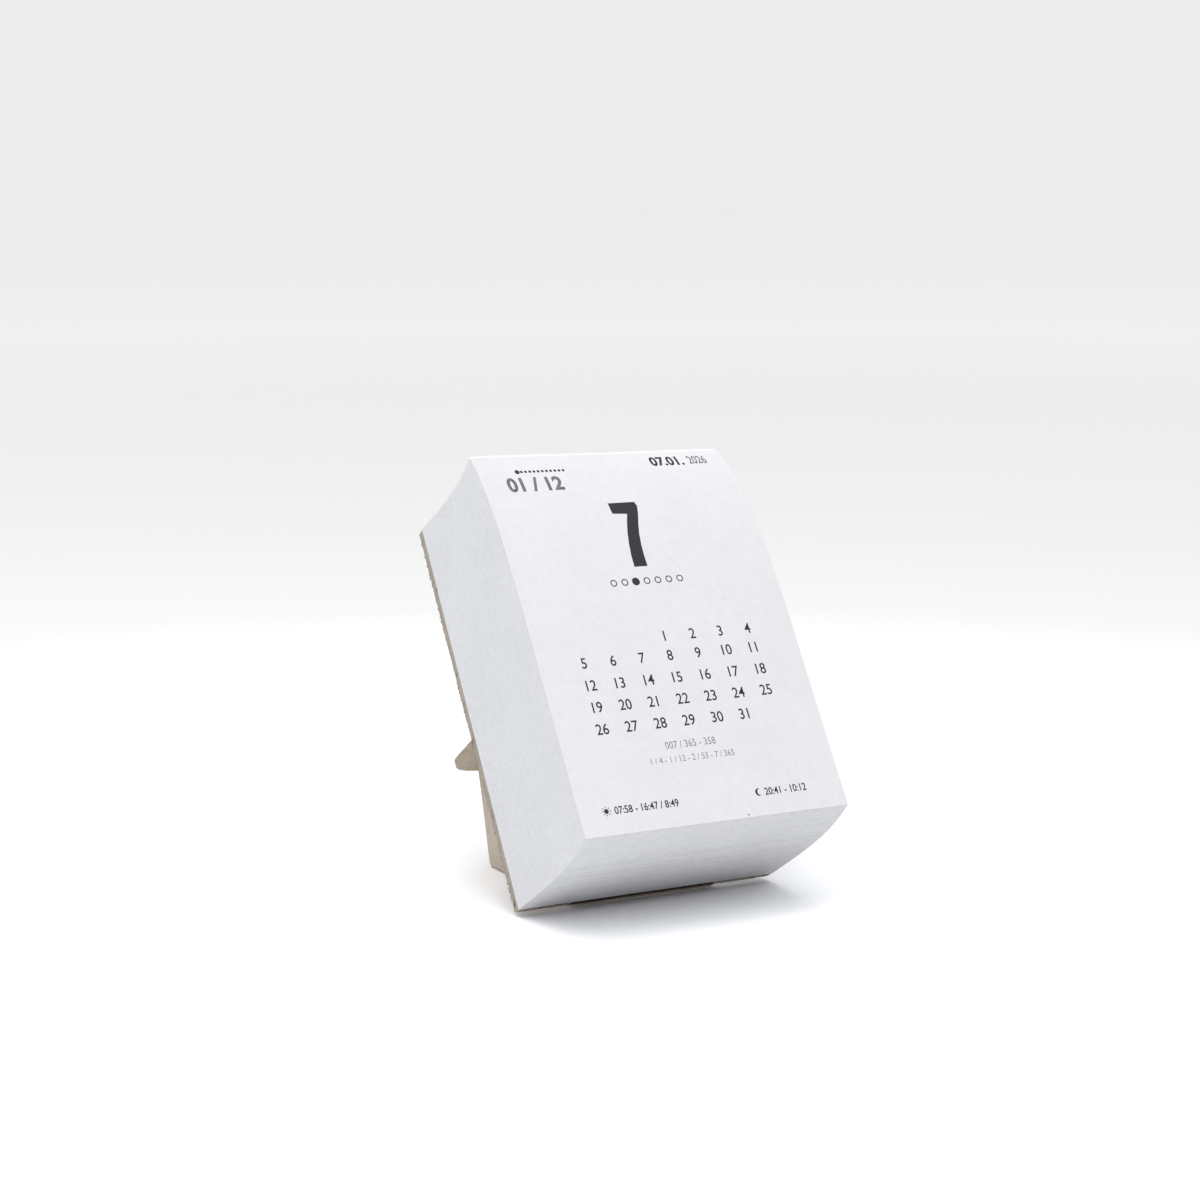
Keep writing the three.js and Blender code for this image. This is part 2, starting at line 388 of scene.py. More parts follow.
def makePadding():
    padding = Finish("driedPadding", roughness=0.45, specular=0.4)
    where = padding.coordinates()
    lumps = padding.noise(where, 260, 3, 0.5)
    streaks = padding.noise(padding.coordinates((0.15, 1, 1)), 700, 2, 0.5)
    padding.put(colour=padding.mix(lumps, paddingLook["dull"], paddingLook["bright"]))
    padding.put(roughness=padding.ramp(streaks, 0.2, 0.8) * 0.3 + 0.35)
    padding.put(normal=padding.bump(lumps * 0.6 + streaks * 0.4, paddingLook["lumps"]))
    return padding


# each ink where it lies deep and where it lies thin
inkTones = {
    "black": ((0.022, 0.022, 0.028), (0.045, 0.045, 0.052)),
    "grey": ((0.15, 0.15, 0.158), (0.22, 0.22, 0.23)),
    "pale": ((0.20, 0.20, 0.21), (0.29, 0.29, 0.305)),
    "brown": ((0.20, 0.14, 0.10), (0.32, 0.25, 0.19)),
}


def makeInk(name, deep, thin):
    ink = Finish(name, roughness=0.7, specular=0.3)
    where = ink.coordinates()
    coverage = ink.ramp(ink.noise(where, 2600, 3, 0.7), 0.35, 0.75)
    ink.put(colour=ink.mix(coverage, deep, thin))
    return ink


pagePaper = makePaper("pagePaper")
cutEdges = makeCutEdges("cutLeafEdges")
greyboard = makeCard("greyboard", boardLook, 0.10 * mm)
easelCard = makeCard("easelCard", cardLook, 0.06 * mm)
# the tab's card painted darker than the wing's: painted shade
tabShadedCard = makeCard("tabShadedCard", tabShadedLook, 0.06 * mm)
dryPadding = makePadding()
blackInk = makeInk("blackInk", *inkTones["black"])
greyInk = makeInk("greyInk", *inkTones["grey"])
paleInk = makeInk("paleInk", *inkTones["pale"])
print("finishes made")


leafShape = {
    "padColumns": 3,
    "padRows": 12,
    "fineColumns": 10,
    "fineRows": 70,
    "crowding": 1.7,  # rows crowd towards the squeezed top edge
    "slipAcross": 0.006 * mm,
    "slipDown": 0.007 * mm,
    "turn": math.radians(0.003),
    "lengths": [31, 28, 31, 30, 31, 30, 31, 31, 30, 31, 30, 31],
    "months": ["january", "february", "march", "april", "may", "june", "july",
               "august", "september", "october", "november", "december"],
    "tornOff": 6,
    "loose": 2,
}


def leafBlank(name, columns, rows):
    thick, width, height = block["paper"], block["width"], block["height"]
    blank = addCube(name, (width, thick, height), (0, thick / 2, height / 2))
    downs = [height * (row / rows) ** leafShape["crowding"] for row in range(1, rows)]
    cutRows(blank, [height - down for down in downs], (0, 0, 1))
    cutRows(blank, [width * (column / columns - 0.5) for column in range(1, columns)], (1, 0, 0))
    return blank


def placeLeaf(leaf, number, slip=(0, 0), turn=0):
    # number counts from the board, and the leaf's back lies on the leaves below it
    move = Matrix.Translation((slip[0], -number * block["pitch"] + leafAir, slip[1]))
    leaf.data.transform(move @ Matrix.Rotation(turn, 4, "Y"))


def toneLeaf(leaf):
    tone = leaf.data.attributes.new("leafTone", "FLOAT", "POINT")
    tone.data.foreach_set("value", [dice.random()] * len(leaf.data.vertices))


def monthPad(month, first, last):
    leaves = []
    for number in range(first, last + 1):
        leaf = copyOf(padLeaf)
        slip = (dice.gauss(0, leafShape["slipAcross"]), dice.gauss(0, leafShape["slipDown"]))
        placeLeaf(leaf, number, slip, dice.gauss(0, leafShape["turn"]))
        toneLeaf(leaf)
        leaves.append(leaf)
    pad = joinAll(leaves, f"pad_{month}")
    settleOnBlock(pad)
    smoothByAngle(pad)
    dress(pad, cutEdges)
    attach(pad, "block")
    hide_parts(f"leaves_{month}")


padLeaf = leafBlank("padLeaf", leafShape["padColumns"], leafShape["padRows"])
below = block["leaves"] - leafShape["loose"]
for index, month in enumerate(leafShape["months"]):
    missing = leafShape["tornOff"] + leafShape["loose"] if index == 0 else 0
    count = leafShape["lengths"][index] - missing
    monthPad(month, below - count + 1, below)
    below -= count
bpy.data.objects.remove(padLeaf)
print("month pads stacked")


def bendAtTop(piece):
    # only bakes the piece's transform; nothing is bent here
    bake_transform(piece)


def looseLeaf(name, number, node):
    leaf = leafBlank(name, leafShape["fineColumns"], leafShape["fineRows"])
    placeLeaf(leaf, number)
    settleOnBlock(leaf)
    smoothByAngle(leaf)
    dress(leaf, pagePaper)
    bendAtTop(leaf)
    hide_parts(node)


looseLeaf("secondLeaf", block["leaves"] - 1, "leaf_second")
looseLeaf("frontLeaf", block["leaves"], "leaf_front")
print("loose leaves made")


# print on the front leaf: plain numbers and marks only

inkPlace = {
    "lift": 0.004 * mm,
    "film": 0.010 * mm,
    "rowCut": 1.2 * mm,
}


def pagePlace(x, down):
    # from the left and top edges of the page, in millimetres, to flat block space
    return x * mm - block["width"] / 2, block["height"] - down * mm


def inkPiece(name, parts, finish):
    # parts stand flat in XZ; they get a film's thickness and settle on the front leaf
    obj = joinAll(parts, name)
    applyPlace(obj)
    high = max(vertex.co.z for vertex in obj.data.vertices)
    low = min(vertex.co.z for vertex in obj.data.vertices)
    cuts = int((high - low) / inkPlace["rowCut"])
    cutRows(obj, [low + (row + 0.5) * inkPlace["rowCut"] for row in range(cuts + 1)], (0, 0, 1))
    pick(obj)
    bpy.ops.object.mode_set(mode="EDIT")
    bpy.ops.mesh.select_all(action="SELECT")
    bpy.ops.mesh.remove_doubles(threshold=0.001 * mm)
    bpy.ops.mesh.normals_make_consistent(inside=False)
    bpy.ops.object.mode_set(mode="OBJECT")
    addModifier(obj, "SOLIDIFY", thickness=inkPlace["film"], offset=0)
    face = block["leaves"] * block["pitch"] - leafAir + inkPlace["lift"] + inkPlace["film"] / 2
    obj.data.transform(Matrix.Translation((0, -face, 0)))
    settleOnBlock(obj)
    pick(obj)
    bpy.ops.object.mode_set(mode="EDIT")
    bpy.ops.mesh.select_all(action="SELECT")
    bpy.ops.mesh.normals_make_consistent(inside=False)
    bpy.ops.object.mode_set(mode="OBJECT")
    dress(obj, finish)
    bendAtTop(obj)


def printNumber(text, x, down, height, squeeze=1.0, weight=0.0, align="CENTER"):
    # height is the digits' height in mm, and down their foot
    deselectAll()
    bpy.ops.object.text_add()
    obj = bpy.context.object
    obj.data.body = text
    obj.data.align_x = align
    obj.data.size = height / 0.7 * mm
    obj.data.offset = weight * mm
    obj.data.resolution_u = 4
    bpy.ops.object.convert(target="MESH")
    obj = bpy.context.object
    left, foot = pagePlace(x, down)
    obj.data.transform(Matrix.Translation((left, 0, foot))
                       @ Matrix.Rotation(math.radians(90), 4, "X")
                       @ Matrix.Diagonal((squeeze, 1, 1, 1)))
    return obj


def printOutline(points):
    # a flat face from points on the page, in millimetres
    deselectAll()
    bpy.ops.curve.primitive_bezier_curve_add()
    obj = bpy.context.object
    curve = obj.data
    curve.splines.clear()
    spline = curve.splines.new("POLY")
    spline.points.add(len(points) - 1)
    for point, (x, down) in zip(spline.points, points):
        left, foot = pagePlace(x, down)
        point.co = (left, foot, 0, 1)
    spline.use_cyclic_u = True
    curve.dimensions = "2D"
    curve.fill_mode = "BOTH"
    bpy.ops.object.convert(target="MESH")
    obj = bpy.context.object
    obj.data.transform(Matrix.Rotation(math.radians(90), 4, "X"))
    return obj


def arc(x, down, radius, start, end, steps):
    return [(x + radius * math.cos(math.radians(start + (end - start) * step / steps)),
             down - radius * math.sin(math.radians(start + (end - start) * step / steps)))
            for step in range(steps + 1)]


def printDisc(x, down, radius):
    return printOutline(arc(x, down, radius, 0, 345, 23))


def printRing(x, down, radius, stroke):
    # two half rings keep each face free of holes
    halves = [printOutline(arc(x, down, radius, start, start + 180, 16)
                           + arc(x, down, radius - stroke, start + 180, start, 16))
              for start in (0, 180)]
    return joinAll(halves, "ring")


# the day's number
dayNumber = {
    "outline": [(33.3, 16.6), (41.1, 16.6), (41.5, 17.9), (40.85, 20.4), (39.9, 23.2), (39.1, 26.2),
                (38.6, 29.4), (38.4, 32.4), (38.4, 35.5), (34.6, 35.5), (34.7, 32.4), (35.15, 29.0),
                (35.8, 25.8), (36.7, 22.8), (37.7, 20.1), (33.5, 19.8)],
}
inkPiece("dayNumber", [printOutline(dayNumber["outline"])], blackInk)

# date line at the top right
dateLine = {"left": 51.8, "yearRight": 69.2, "down": 5.0, "height": 3.0}
inkPiece("dateNumbers", [printNumber("07.01.", dateLine["left"], dateLine["down"], dateLine["height"],
                                     0.98, 0.14, "LEFT")], blackInk)
inkPiece("yearNumber", [printNumber("2026", dateLine["yearRight"], dateLine["down"] - 0.2,
                                    dateLine["height"] * 0.93, 0.72, 0.05, "RIGHT")], greyInk)

# the month at the top left: twelve dots, the first one large, over its number
monthMark = {"firstDot": 11.4, "dotPitch": 1.22, "dotDown": 5.3, "dotRadius": 0.40, "today": 1.7,
             "numberLeft": 7.0, "numberDown": 11.4, "numberHeight": 4.1}
otherMonth = printDisc(monthMark["firstDot"] + monthMark["dotPitch"], monthMark["dotDown"],
                       monthMark["dotRadius"])
monthDots = [printDisc(monthMark["firstDot"], monthMark["dotDown"],
                       monthMark["dotRadius"] * monthMark["today"]), otherMonth]
monthDots += [copyOf(otherMonth, step * monthMark["dotPitch"] * mm) for step in range(1, 11)]
inkPiece("monthDots", monthDots, blackInk)
inkPiece("monthCount", [printNumber("01 / 12", monthMark["numberLeft"], monthMark["numberDown"],
                                    monthMark["numberHeight"], 0.96, 0.2, "LEFT")], greyInk)

# seven rings for the days of the week, the third one filled
weekDots = {"middle": 36.9, "down": 39.6, "pitch": 3.2, "radius": 0.95, "stroke": 0.28, "today": 2}
firstDay = weekDots["middle"] - 3 * weekDots["pitch"]
ring = printRing(firstDay, weekDots["down"], weekDots["radius"], weekDots["stroke"])
rings = [ring] + [copyOf(ring, day * weekDots["pitch"] * mm) for day in range(1, 7)
                  if day != weekDots["today"]]
rings.append(printDisc(firstDay + weekDots["today"] * weekDots["pitch"], weekDots["down"],
                       weekDots["radius"] * 1.15))
inkPiece("weekDots", rings, blackInk)

# the month in five rows
monthTable = {
    "rows": [56.4, 61.7, 67.7, 73.5, 79.3],
    "first": 12.6,
    "pitch": 8.15,
    "height": 2.8,
    "weight": 0.035,
    "startDay": 3,
}
numbers = []
for day in range(1, 32):
    place = day - 1 + monthTable["startDay"]
    x = monthTable["first"] + (place % 7) * monthTable["pitch"]
    numbers.append(printNumber(str(day), x, monthTable["rows"][place // 7], monthTable["height"], 0.9,
                               monthTable["weight"]))
inkPiece("monthNumbers", numbers, blackInk)

# counts of the year in two small lines
countLines = {"middle": 35.6, "upperDown": 84.9, "upperHeight": 1.9, "lowerDown": 88.5,
              "lowerHeight": 1.65}
inkPiece("dayCount", [printNumber("007 / 365 - 358", countLines["middle"], countLines["upperDown"],
                                  countLines["upperHeight"], 0.86)], paleInk)
inkPiece("weekCount", [printNumber("1 / 4 - 1 / 12 - 2 / 53 - 7 / 365", countLines["middle"] - 0.6,
                                   countLines["lowerDown"], countLines["lowerHeight"], 0.86)], paleInk)

# sun and moon times at the foot
footLine = {"left": 6.3, "right": 49.7, "down": 99.8, "height": 1.9, "signRadius": 0.62, "rayIn": 0.85,
            "rayOut": 1.25, "rayHalf": 0.1, "moonRadius": 1.0, "moonBite": 0.87, "moonShift": 0.5}
sunX, signDown = footLine["left"] + 1.2, footLine["down"] - footLine["height"] / 2
sunSign = [printDisc(sunX, signDown, footLine["signRadius"])]
ray = printOutline([(sunX + footLine["rayIn"], signDown - footLine["rayHalf"]),
                    (sunX + footLine["rayOut"], signDown - footLine["rayHalf"]),
                    (sunX + footLine["rayOut"], signDown + footLine["rayHalf"]),
                    (sunX + footLine["rayIn"], signDown + footLine["rayHalf"])])
sunLeft, sunFoot = pagePlace(sunX, signDown)
sunMiddle = Matrix.Translation((sunLeft, 0, sunFoot))
for step in range(1, 8):
    twin = copyOf(ray)
    turn = Matrix.Rotation(math.radians(45 * step), 4, "Y")
    twin.data.transform(sunMiddle @ turn @ sunMiddle.inverted())
    sunSign.append(twin)
sunSign.append(ray)
sunSign.append(printNumber("07:58 - 16:47 / 8:49", footLine["left"] + 3.4, footLine["down"],
                           footLine["height"], 0.84, 0.04, "LEFT"))
inkPiece("sunTimes", sunSign, blackInk)
moonX = footLine["right"] + 0.9
crescent = (arc(moonX, signDown, footLine["moonRadius"], 60, 300, 20)
            + arc(moonX + footLine["moonShift"], signDown, footLine["moonBite"], 264, 96, 14))
inkPiece("moonTimes", [printOutline(crescent),
                       printNumber("20:41 - 10:12", footLine["right"] + 2.6, footLine["down"],
                                   footLine["height"], 0.84, 0.04, "LEFT")], blackInk)
# a fibre caught in the paper by the lower edge
speck = {"x": 45.9, "down": 104.3, "radius": 0.24}
inkPiece("paperSpeck", [printDisc(speck["x"], speck["down"], speck["radius"])],
         makeInk("brownSpeck", *inkTones["brown"]))
print("front leaf printed")


board = {
    "thick": block["board"],
    "round": 0.18 * mm,
    "step": 1.4 * mm,
    "rows": 75,
    "columns": 54,
    "fuzz": 0.13 * mm,
    "fuzzReach": 1.2,  # in widths of the rounding
    "fuzzSeed": 3,
    "grain": 900,
}


def roughenOutline(obj, low, high, reach, fuzz, seed):
    # cut edges are a little uneven
    for vertex in obj.data.vertices:
        for axis in (0, 2):
            for limit, side in ((low[axis], 1), (high[axis], -1)):
                if abs(vertex.co[axis] - limit) < reach:
                    grain = noise.noise(Vector(vertex.co) * board["grain"] + Vector((seed, 0, 0)))
                    vertex.co[axis] += side * fuzz * (0.5 + grain)
    obj.data.update()


backBoard = addCube("backBoard", (block["width"], board["thick"], block["height"]),
                    (0, leafAir + board["thick"] / 2, block["height"] / 2))
addModifier(backBoard, "BEVEL", width=board["round"], segments=2)
cutRows(backBoard, [board["step"] * row for row in range(1, board["rows"])], (0, 0, 1))
cutRows(backBoard, [board["step"] * column - block["width"] / 2
                    for column in range(1, board["columns"])], (1, 0, 0))
roughenOutline(backBoard, (-block["width"] / 2, 0, 0), (block["width"] / 2, 0, block["height"]),
               board["round"] * board["fuzzReach"], board["fuzz"], board["fuzzSeed"])
backBoard.data.transform(boardSpace)
markCutFaces(backBoard, backAxis)
smoothByAngle(backBoard)
dress(backBoard, greyboard)
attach(backBoard, "block")
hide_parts("back_board")
print("back board cut")


# the easel's cards start as copies of the CAD ones

easel = {
    "round": 0.22 * mm,
    "footLift": 0.4 * mm,  # the wing stands on the inner side of its lower edge
    "wingFace": -21.1 * mm,
    "tabMiddle": -20.35 * mm,
    "tabAxis": 4.3 * mm,
    "tabTipHalf": 10.5 * mm,
    "tabNarrow": 0.935,  # the tab is trimmed narrower, with a rounder tip
    "tabLonger": 0.003,
    "tabRounder": 0.0195,
    "tabDrop": 0.25 * mm,  # and sags onto the wing
}


def trimTab(card):
    toBoard = boardSpace.inverted()
    for vertex in card.data.vertices:
        flat = toBoard @ vertex.co
        aside = flat.x - easel["tabMiddle"]
        share = abs(aside) / easel["tabTipHalf"]
        longer = 1 + easel["tabLonger"] - easel["tabRounder"] * share
        vertex.co = boardSpace @ Vector((
            easel["tabMiddle"] + aside * easel["tabNarrow"],
            easel["tabAxis"] + (flat.y - easel["tabAxis"]) * longer,
            flat.z - easel["tabDrop"]))


def cardFromNode(node, name, body, sheetNormal):
    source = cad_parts[node]
    card = source.copy()
    card.data = source.data.copy()
    card.parent = None
    for key in list(card.keys()):
        del card[key]
    bpy.context.collection.objects.link(card)
    card.name = name
    card.hide_render = card.hide_viewport = False
    pick(card)
    bpy.ops.object.mode_set(mode="EDIT")
    bpy.ops.mesh.select_all(action="SELECT")
    bpy.ops.mesh.remove_doubles(threshold=0.005 * mm)
    bpy.ops.mesh.dissolve_limited(angle_limit=math.radians(1))
    bpy.ops.object.mode_set(mode="OBJECT")
    if body == "wing":
        for vertex in card.data.vertices:
            if vertex.co.z < 0.02 * mm and vertex.co.x < easel["wingFace"] + 0.1 * mm:
                vertex.co.z += easel["footLift"]
    if body == "tab":
        trimTab(card)
    addModifier(card, "BEVEL", width=easel["round"], segments=2, limit_method="ANGLE",
                angle_limit=math.radians(50))
    markCutFaces(card, sheetNormal)
    smoothByAngle(card, 40)
    dress(card, tabShadedCard if body == "tab" else easelCard)
    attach(card, body)
    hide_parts(node)


cardFromNode("easel_panel", "easelPanel", "block", backAxis)
cardFromNode("easel_wing", "easelWing", "wing", acrossAxis)
cardFromNode("lock_tab", "lockTab", "tab", upAxis)
print("easel cut")


# the card's skin runs on through each fold

crease = {
    "x": easel["wingFace"],  # also the left end of the panel
    "card": 1.5 * mm,
    "panelBack": 4.1 * mm,
    "wingAxis": 4.6 * mm,
    "foot": 1.1 * mm,
    "tabHeight": 49.5 * mm - easel["tabDrop"],
    "steps": 30,
    "tabAxis": easel["tabAxis"],
    "reach": 0.9 * mm,
    "skin": 0.12 * mm,
    "proud": 0.02 * mm,
    "innerLift": 0.8 * mm,
    "tabFrom": -19.2 * mm,
    "tabTo": -8.9 * mm,
}


def foldStrip(name, section, along, low, high):
    # a closed strip: its section is drawn once, then extruded along the fold
    deselectAll()
    bpy.ops.mesh.primitive_circle_add(vertices=len(section), radius=1, fill_type="NGON")
    strip = bpy.context.object
    strip.name = name
    for vertex, (first, second) in zip(strip.data.vertices, section):
        vertex.co = Vector((first, second, low)) if along == "z" else Vector((low, first, second))
    pick(strip)
    bpy.ops.object.mode_set(mode="EDIT")
    bpy.ops.mesh.select_all(action="SELECT")
    move = (high - low) / crease["steps"]
    for step in range(crease["steps"]):
        bpy.ops.mesh.extrude_region_move(TRANSFORM_OT_translate={
            "value": (0, 0, move) if along == "z" else (move, 0, 0)})
    bpy.ops.mesh.select_all(action="SELECT")
    bpy.ops.mesh.normals_make_consistent(inside=False)
    bpy.ops.object.mode_set(mode="OBJECT")
    strip.data.transform(boardSpace)
    smoothByAngle(strip, 50)
    dress(strip, easelCard)
    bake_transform(strip)


outer = crease["x"] - crease["proud"]
bulge = outer - 0.10 * mm
inner = crease["x"] + crease["skin"]
back, axis, reach = crease["panelBack"], crease["wingAxis"], crease["reach"]
foldStrip("wingCreaseOuter", [
    (inner, back - reach), (outer, back - reach + 0.1 * mm), (outer - 0.03 * mm, back - 0.3 * mm),
    (bulge, (back + axis) / 2), (outer - 0.03 * mm, axis + 0.3 * mm), (outer, axis + reach - 0.1 * mm),
    (inner, axis + reach)],
    "z", crease["foot"], crease["tabHeight"] - 0.4 * mm)
wingFace = crease["x"] + crease["card"]
foldStrip("wingCreaseInner", [
    (wingFace - 0.05 * mm, axis + 0.75 * mm), (wingFace + 0.04 * mm, axis + 0.7 * mm),
    (wingFace + 0.12 * mm, axis + 0.25 * mm), (wingFace + 0.32 * mm, axis - 0.15 * mm),
    (wingFace + 0.75 * mm, back + 0.04 * mm), (wingFace + 0.8 * mm, back - 0.05 * mm),
    (wingFace - 0.05 * mm, back - 0.05 * mm)],
    "z", crease["foot"] + crease["innerLift"], crease["tabHeight"] - 0.4 * mm)
tabBase, tabAxis = crease["tabHeight"], crease["tabAxis"]
foldStrip("tabCreaseInner", [
    (back - 0.05 * mm, tabBase - 0.95 * mm), (back + 0.04 * mm, tabBase - 0.9 * mm),
    (back + 0.12 * mm, tabBase - 0.45 * mm), (tabAxis + 0.2 * mm, tabBase - 0.14 * mm),
    (tabAxis + 0.55 * mm, tabBase - 0.03 * mm), (tabAxis + 0.6 * mm, tabBase + 0.05 * mm),
    (back - 0.05 * mm, tabBase + 0.05 * mm)],
    "x", crease["tabFrom"], crease["tabTo"])
print("creases made")


# brown fibres stand out of the cut edges

tufts = {"boardEdge": 90, "boardFoot": 12, "long": 0.42 * mm, "wide": 0.16 * mm, "curl": 0.5,
         "dark": (0.13, 0.085, 0.05), "light": (0.30, 0.22, 0.15),
         "tabDepths": (9.5, 14.2, 15.1, 22.8), "tabHalf": 11.7 * mm,
         "tabStart": 4.3, "tabLength": 30.2, "tabTaper": 1.9 * mm, "tabUp": 1.3 * mm}
tuftCard = Finish("brownFibre", roughness=0.95, specular=0.1)
tuftTone = tuftCard.noise(tuftCard.coordinates(), 3000, 2, 0.5)
tuftCard.put(colour=tuftCard.mix(tuftTone, tufts["dark"], tufts["light"]))

deselectAll()
bpy.ops.mesh.primitive_ico_sphere_add(subdivisions=1, radius=1)
firstTuft = bpy.context.object
for vertex in firstTuft.data.vertices:
    # drawn out to a bent point at one end
    taper = 0.35 + 0.65 * (1 - vertex.co.z) / 2
    vertex.co.x = vertex.co.x * taper + tufts["curl"] * max(vertex.co.z, 0) ** 2
    vertex.co.y *= taper


def addTuft(place, grow=1.0):
    tuft = copyOf(firstTuft)
    turn = Matrix.Rotation(dice.uniform(0, math.pi), 4, Vector((dice.gauss(0, 1), dice.gauss(0, 1), 1)))
    size = Matrix.Diagonal((tufts["wide"] * grow, tufts["wide"] * grow,
                            tufts["long"] * grow * dice.uniform(0.5, 1.1), 1))
    tuft.data.transform(boardSpace @ Matrix.Translation(place) @ turn @ size)
    return tuft


def tuftGroup(name, parts, body):
    group = joinAll(parts, name)
    smoothByAngle(group, 60)
    dress(group, tuftCard)
    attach(group, body)


boardTufts = []
half, thick = block["width"] / 2, board["thick"]
for number in range(tufts["boardEdge"]):
    along = dice.uniform(0.02, 0.98) * block["height"]
    side = -1 if number % 3 else 1
    boardTufts.append(addTuft(Vector((side * (half - 0.02 * mm), thick - 0.05 * mm, along)),
                              dice.uniform(0.5, 1.1)))
for number in range(tufts["boardFoot"]):
    boardTufts.append(addTuft(Vector((dice.uniform(-1, 1) * half, thick - 0.1 * mm, 0.1 * mm)),
                              dice.uniform(0.4, 0.8)))
tuftGroup("boardTufts", boardTufts, "block")
tabEdge = easel["tabMiddle"] - tufts["tabHalf"]
tabTufts = []
for depth in tufts["tabDepths"]:
    inward = tufts["tabTaper"] * (depth - tufts["tabStart"]) / tufts["tabLength"]
    tabTufts.append(addTuft(Vector((tabEdge + inward, depth * mm, tabBase + tufts["tabUp"])), 0.8))
tuftGroup("tabTufts", tabTufts, "tab")
bpy.data.objects.remove(firstTuft)
print("tufts added")


# padding along the top: a thin lumpy coat over the leaves' edges

coat = {
    "gap": 0.1 * mm,
    "thick": 0.6 * mm,
    "setback": 0.3 * mm,
    "lumps": 0.16 * mm,
    "fineLumps": (260, 420),
    "broadLumps": (70, 110),
    "lip": 0.34 * mm,  # dried glue stands up along the front
    "lipReach": 2.5 * mm,
    "lipWaves": 55,
    "round": 0.12 * mm,
    "rows": 48,
    "columns": 60,
}
coatDepth = block["depth"] - coat["setback"] + board["thick"]
padding = addCube("padding", (block["width"], coatDepth, coat["thick"]),
                  (0, board["thick"] - coatDepth / 2, block["height"] + coat["gap"] + coat["thick"] / 2))
cutRows(padding, [board["thick"] - coatDepth * row / coat["rows"] for row in range(1, coat["rows"])],
        (0, 1, 0))
cutRows(padding, [half * (2 * column / coat["columns"] - 1) for column in range(1, coat["columns"])],
        (1, 0, 0))
topFace = block["height"] + coat["gap"] + coat["thick"]
frontFace = board["thick"] - coatDepth
for vertex in padding.data.vertices:
    co = vertex.co
    fineX, fineY = coat["fineLumps"]
    broadX, broadY = coat["broadLumps"]
    grain = noise.noise(Vector((co.x * fineX, co.y * fineY, 3.1)))
    broad = noise.noise(Vector((co.x * broadX, co.y * broadY, 8.7)))
    if co.z > topFace - 0.01 * mm:
        co.z += coat["lumps"] * (0.5 * grain + 0.7 * broad)
        nearLip = min(max((co.y - frontFace) / coat["lipReach"], 0), 1)
        lift = 0.5 + noise.noise(Vector((co.x * coat["lipWaves"], 2.2, 0)))
        co.z += coat["lip"] * lift * (1 - nearLip)
padding.data.update()
settleOnBlock(padding)
addModifier(padding, "BEVEL", width=coat["round"], segments=2, limit_method="ANGLE",
            angle_limit=math.radians(50))
smoothByAngle(padding, 60)
dress(padding, dryPadding)
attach(padding, "block")
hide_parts("padding_glue")
print("padding coated")


studio = {
    "floorSize": 14,
    "floorTone": 0.9,  # what the floor throws back on the calendar
    "floorNear": 1.13,  # what the camera sees of it next to the calendar: painted light, brighter than what the floor throws back
    "floorMiddle": 0.885,
    "floorFar": 1.045,
    "nearSpan": (0.16, 0.46),  # metres from the middle over which the floor's tone changes: a painted light falloff
    "farSpan": (0.7, 2.3),
    "tintSpan": (0.18, 0.42),
    "tintNear": (0.992, 0.994, 1.012),
    "tintFar": (1.0, 1.0, 0.977),
    "skyColour": (0.97, 0.985, 1.0),
    "skyLow": 0.02,  # strength at the horizon
    "skyHigh": 1.22,  # and overhead
    "skySeen": (0.8338, 0.8455, 0.8391),  # as the floor looks far away
}
lamps = {
    "softTop": {"place": (-0.3, -0.35, 1.3), "aim": (0, 0, 0.03), "size": (1.3, 1.0), "power": 8.8},
    "softLeft": {"place": (-1.1, -0.5, 0.75), "aim": (0, 0, 0.05), "size": (0.8, 0.8), "power": 1.9},
}

deselectAll()
bpy.ops.mesh.primitive_plane_add(size=studio["floorSize"], location=(0, 0, 0))
floor = bpy.context.object
floor.name = "floor"
floorFinish = Finish("paleFloor", roughness=0.95, specular=0.0)
distance = floorFinish.node("ShaderNodeVectorMath", {"operation": "LENGTH"},
                            {0: floorFinish.coordinates()}, "Value")
# the camera sees painted light on the floor: bright by the calendar, dimmer at middle distance, brighter
# far off, bluish near and warmer far
nearPaintedLight = floorFinish.node("ShaderNodeMapRange", {}, {
    0: distance, 1: studio["nearSpan"][0], 2: studio["nearSpan"][1],
    3: studio["floorNear"], 4: studio["floorMiddle"]})
seenPaintedLight = floorFinish.node("ShaderNodeMapRange", {}, {
    0: distance, 1: studio["farSpan"][0], 2: studio["farSpan"][1], 3: nearPaintedLight, 4: studio["floorFar"]})
tint = floorFinish.mix(floorFinish.ramp(distance, *studio["tintSpan"]),
                       studio["tintNear"], studio["tintFar"])
seenColour = floorFinish.node("ShaderNodeVectorMath", {"operation": "SCALE"}, {
    0: tint, "Scale": seenPaintedLight}, "Vector")
cameraRay = floorFinish.node("ShaderNodeLightPath", {}, {}, "Is Camera Ray")
floorFinish.put(colour=floorFinish.mix(cameraRay, (studio["floorTone"],) * 3, seenColour))
dress(floor, floorFinish)

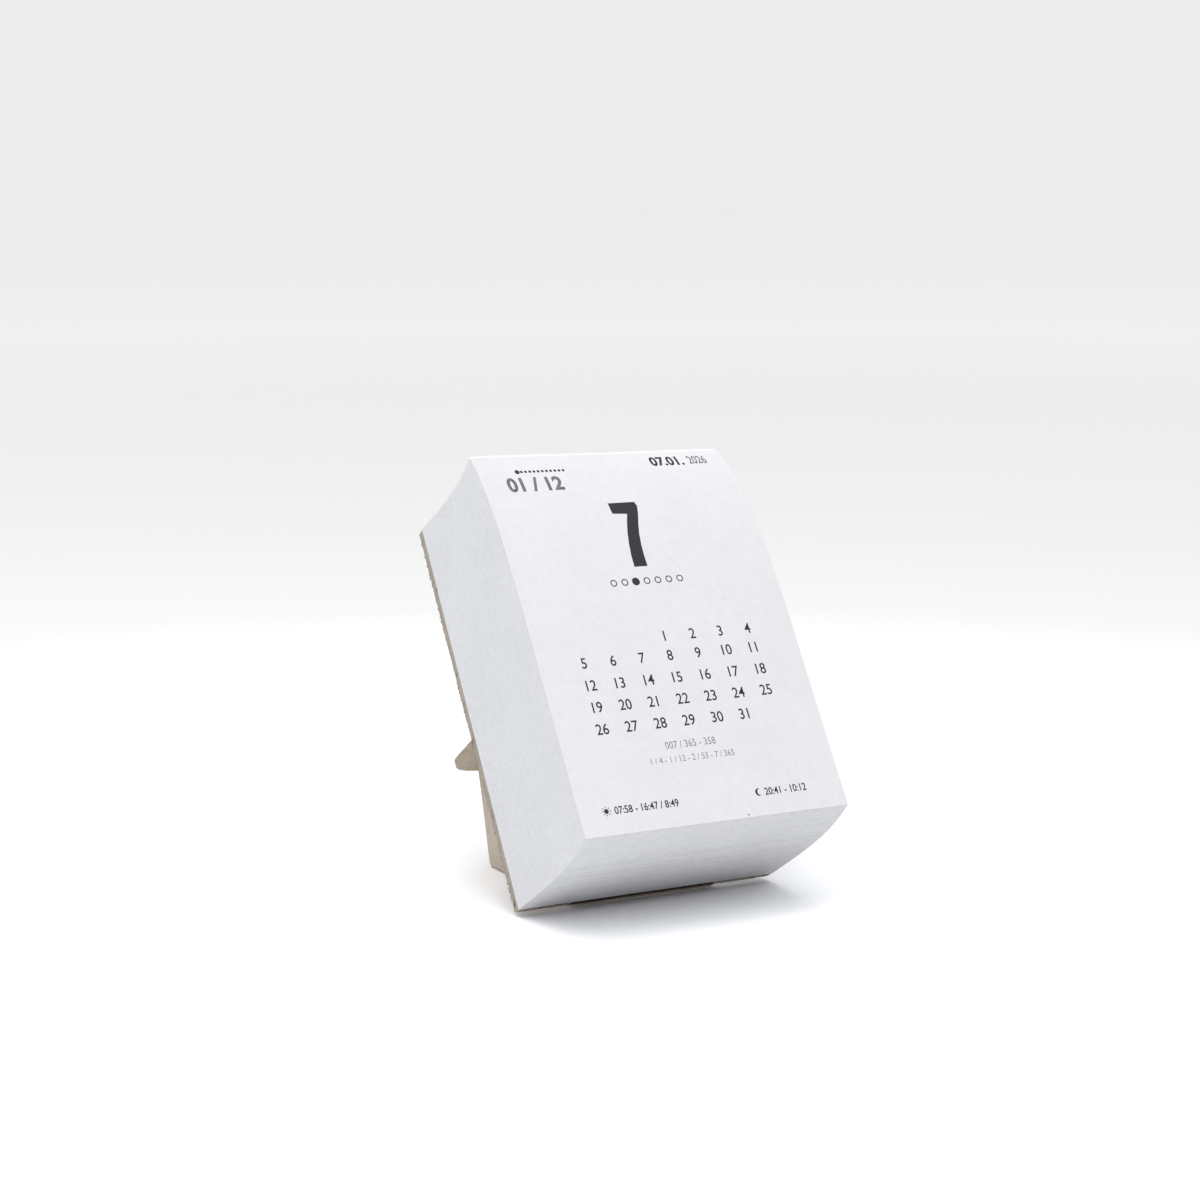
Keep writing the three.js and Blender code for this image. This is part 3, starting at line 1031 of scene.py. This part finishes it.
world = bpy.data.worlds.new("studio")
bpy.context.scene.world = world
world.use_nodes = True
sky = world.node_tree
background = sky.nodes["Background"]
background.inputs["Color"].default_value = (*studio["skyColour"], 1)
direction = sky.nodes.new("ShaderNodeTexCoord")
parts = sky.nodes.new("ShaderNodeSeparateXYZ")
climb = sky.nodes.new("ShaderNodeMapRange")
climb.inputs["To Min"].default_value = studio["skyLow"]
climb.inputs["To Max"].default_value = studio["skyHigh"]
sky.links.new(direction.outputs["Generated"], parts.inputs[0])
sky.links.new(parts.outputs["Z"], climb.inputs["Value"])
sky.links.new(climb.outputs[0], background.inputs["Strength"])
seen = sky.nodes.new("ShaderNodeBackground")
seen.inputs["Color"].default_value = (*studio["skySeen"], 1)
rays = sky.nodes.new("ShaderNodeLightPath")
mixer = sky.nodes.new("ShaderNodeMixShader")
sky.links.new(rays.outputs["Is Camera Ray"], mixer.inputs[0])
sky.links.new(background.outputs[0], mixer.inputs[1])
sky.links.new(seen.outputs[0], mixer.inputs[2])
sky.links.new(mixer.outputs[0], sky.nodes["World Output"].inputs["Surface"])


def softLight(name, place, aim, size, power):
    deselectAll()
    bpy.ops.object.light_add(type="AREA", location=place)
    lamp = bpy.context.object
    lamp.name = name
    lamp.data.shape = "RECTANGLE"
    lamp.data.size, lamp.data.size_y = size
    lamp.data.energy = power
    lamp.rotation_euler = (Vector(aim) - Vector(place)).to_track_quat("-Z", "Y").to_euler()


for lampName, lampValues in lamps.items():
    softLight(lampName, **lampValues)

shot = {
    "lens": 84,
    "sensor": 36,
    "azimuth": math.radians(-28.604),
    "elevation": math.radians(9.1413),
    "distance": 0.702018,
    "aim": Vector((-0.014185, boardOriginY, boardOriginZ + 0.077064)),
}
deselectAll()
towards = Vector((math.sin(shot["azimuth"]) * math.cos(shot["elevation"]),
                  -math.cos(shot["azimuth"]) * math.cos(shot["elevation"]),
                  math.sin(shot["elevation"])))
bpy.ops.object.camera_add(location=shot["aim"] + towards * shot["distance"])
camera = bpy.context.object
camera.rotation_euler = (-towards).to_track_quat("-Z", "Y").to_euler()
camera.data.lens = shot["lens"]
camera.data.sensor_width = shot["sensor"]
camera.data.clip_start = 0.01
bpy.context.scene.camera = camera
bpy.context.scene.view_settings.view_transform = "Standard"
print("studio set")
